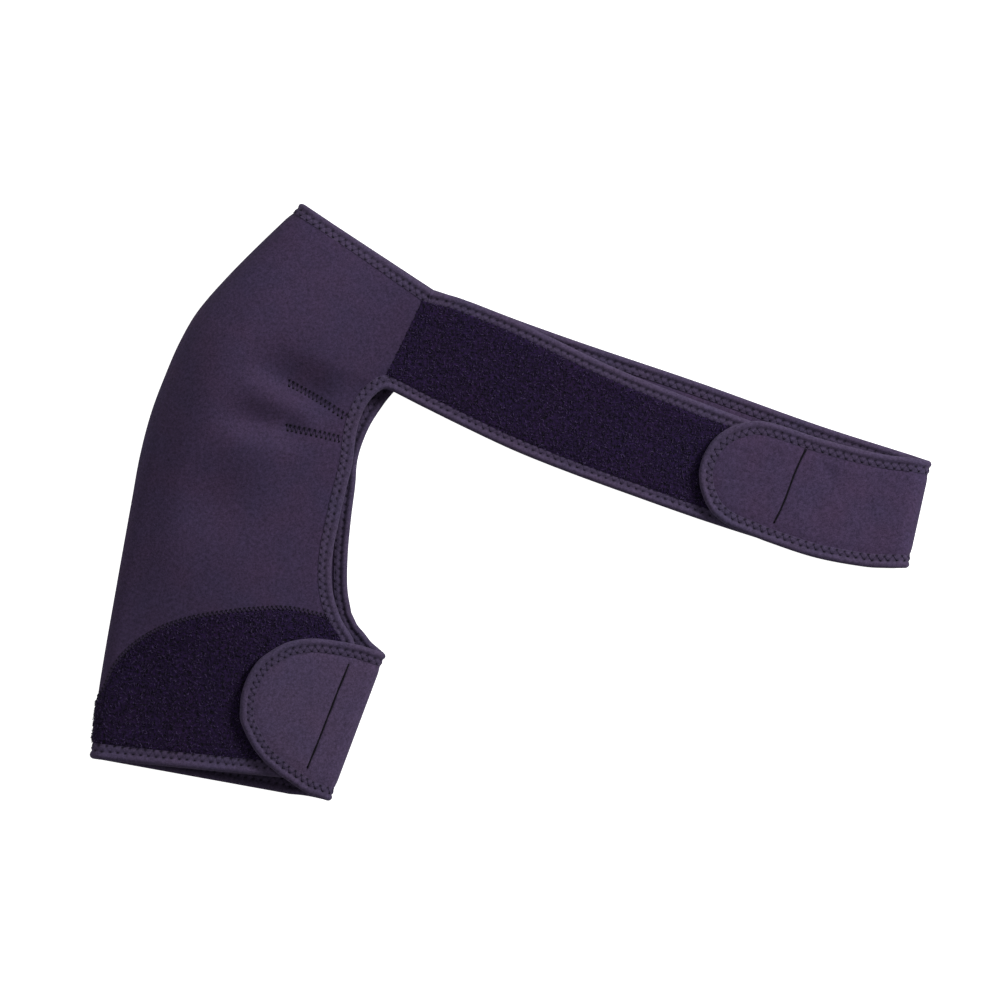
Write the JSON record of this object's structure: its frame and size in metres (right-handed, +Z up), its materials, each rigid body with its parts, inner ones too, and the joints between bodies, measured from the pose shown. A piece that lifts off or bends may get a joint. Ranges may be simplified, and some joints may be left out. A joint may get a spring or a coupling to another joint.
{
  "type": "shoulder brace",
  "caption": "Foam-cloth shoulder brace lying flat: upper-arm sleeve with a domed shoulder, chest strap and cuff strap closed by rounded hook-and-loop tabs.",
  "frame": {"origin": "middle of the whole brace's outline, on the surface that it lies on", "axes": "+X along the chest strap away from the arm, +Y from the cuff towards the shoulder, +Z up off the surface"},
  "size_m": [0.5728, 0.4062, 0.0457],
  "materials": {
    "foam_cloth": "knit-faced foam, dark violet, soft sheen",
    "loop_cloth": "brushed loop pile, very dark violet, matt",
    "hook_cloth": "woven hook tape, near black",
    "binding_tape": "folded jersey tape, zigzag stitched"
  },
  "bodies": {
    "root": {"shoulder_sleeve": "foam_cloth", "front_strap": "foam_cloth", "back_strap": "foam_cloth", "arm_strap": "foam_cloth", "chest_loop_patch": "loop_cloth", "arm_loop_patch": "loop_cloth", "chest_hook_patch": "hook_cloth", "arm_hook_patch": "hook_cloth", "neck_binding": "binding_tape", "cuff_binding": "binding_tape", "front_armpit_binding": "binding_tape", "back_armpit_binding": "binding_tape", "front_strap_binding": "binding_tape", "back_strap_binding": "binding_tape", "arm_strap_binding": "binding_tape"}
  },
  "joints": []
}
